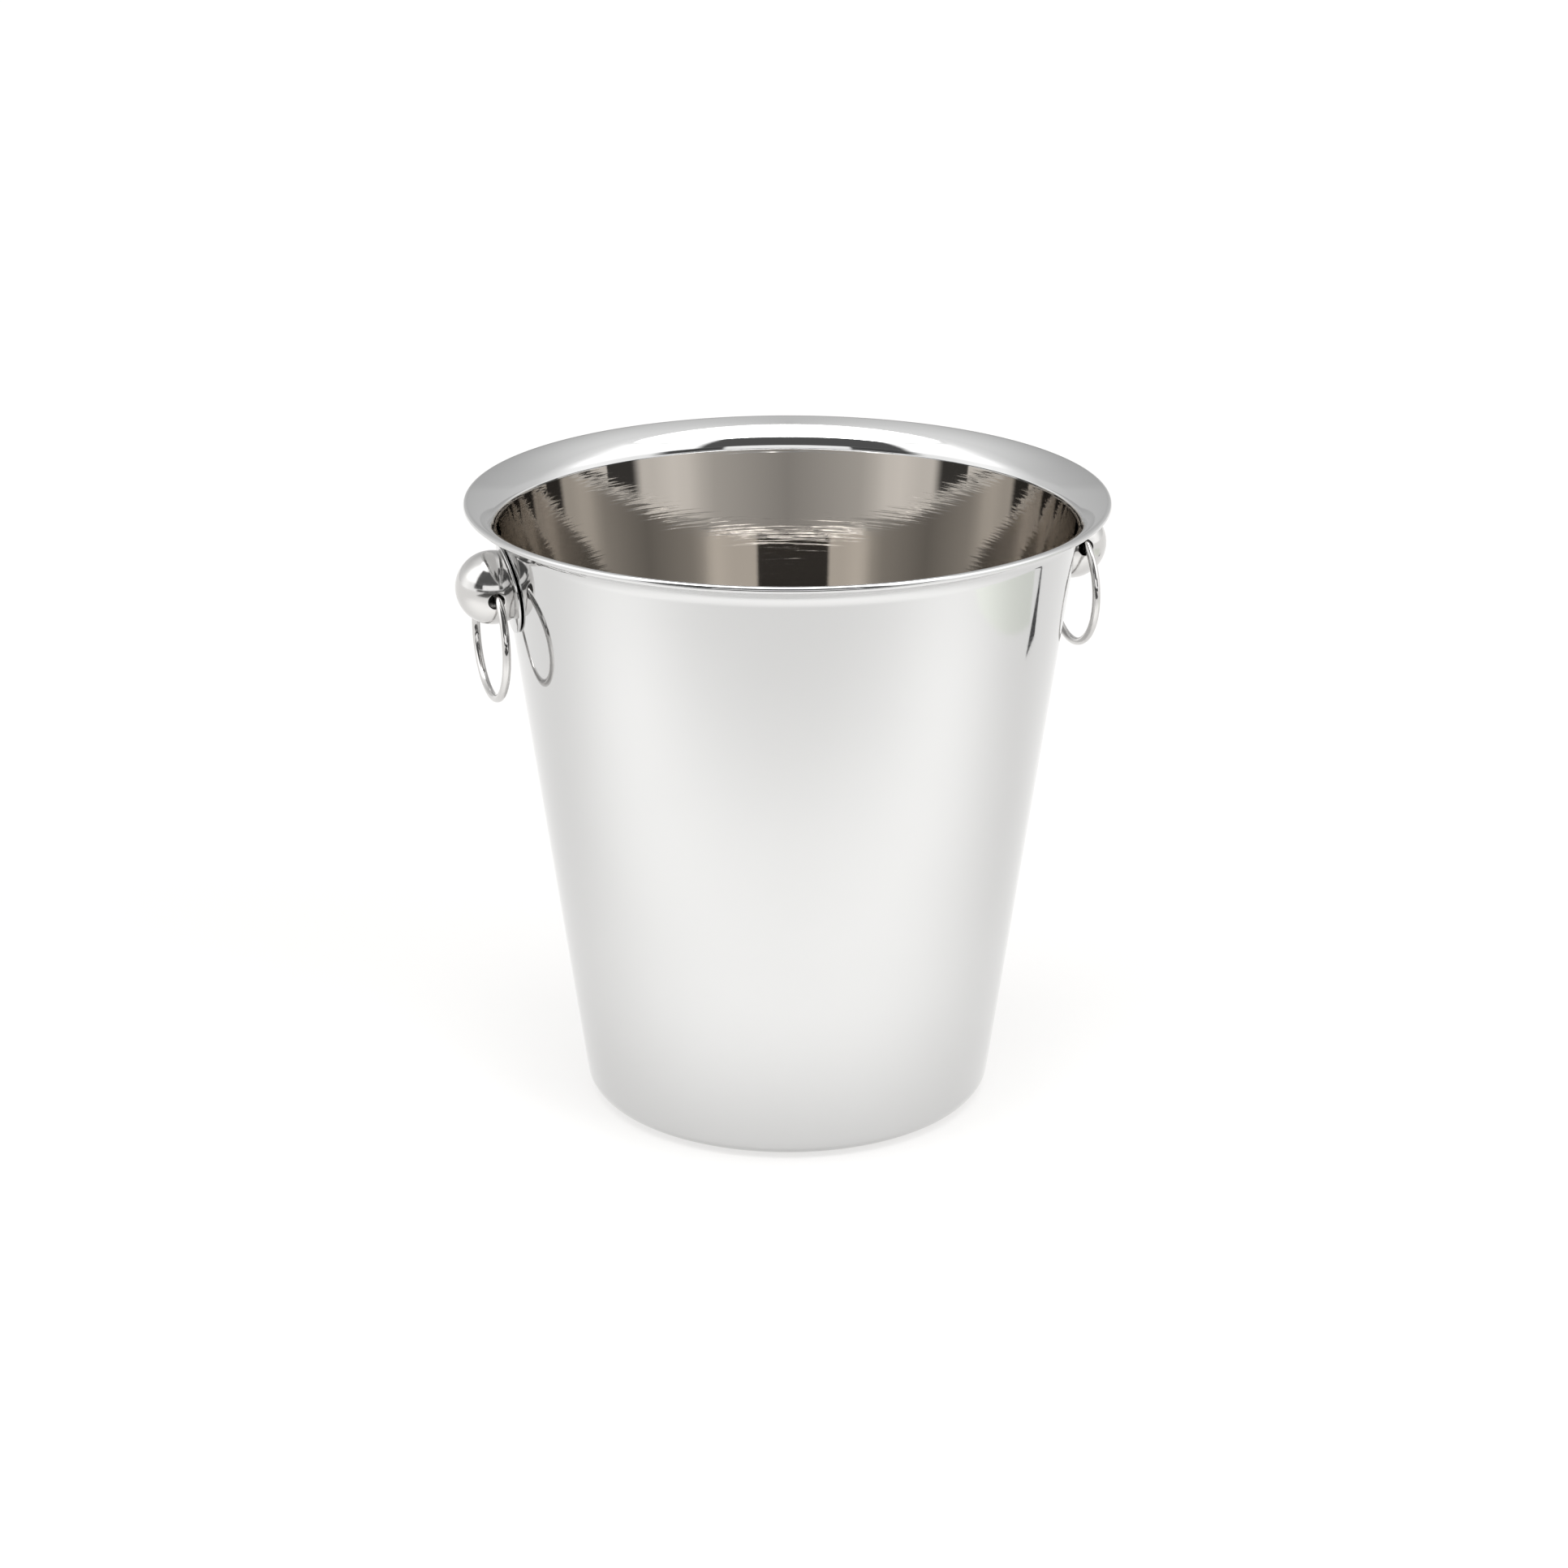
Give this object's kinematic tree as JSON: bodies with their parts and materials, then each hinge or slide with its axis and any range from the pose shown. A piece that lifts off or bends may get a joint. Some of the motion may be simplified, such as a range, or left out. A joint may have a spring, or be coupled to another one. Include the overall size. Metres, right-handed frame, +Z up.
{
  "type": "champagne bucket",
  "caption": "Tapered polished steel champagne bucket with a flared, beaded lip and a ball knob on each side, each with a swinging pull ring.",
  "frame": {"origin": "centre of the flat base, on the surface that the bucket stands on", "axes": "+Z up the bucket's axis to its mouth, +X from the left knob to the right knob"},
  "size_m": [0.2302, 0.22, 0.2155],
  "materials": {
    "polished_shell": "mirror-polished stainless steel outside, finely spun and duller inside",
    "polished_disc": "polished stainless steel",
    "satin_ball": "stainless steel polished to a soft satin",
    "polished_wire": "polished stainless steel wire"
  },
  "bodies": {
    "bucket": {"bucket_shell": "polished_shell", "left_collar_disc": "polished_disc", "right_collar_disc": "polished_disc", "left_ball_knob": "satin_ball", "right_ball_knob": "satin_ball"},
    "left_ring": {"left_pull_ring": "polished_wire"},
    "right_ring": {"right_pull_ring": "polished_wire"}
  },
  "joints": [
    {"name": "left_ring_swing", "type": "hinge", "parent": "bucket", "child": "left_ring", "pos_m": [-0.10354, 0, 0.18917], "axis": [-0.0663, 0.9978, 0], "range_deg": [-14, 160]},
    {"name": "right_ring_swing", "type": "hinge", "parent": "bucket", "child": "right_ring", "pos_m": [0.10393, 0, 0.19194], "axis": [0.0663, -0.9978, 0], "range_deg": [-14, 160]}
  ]
}
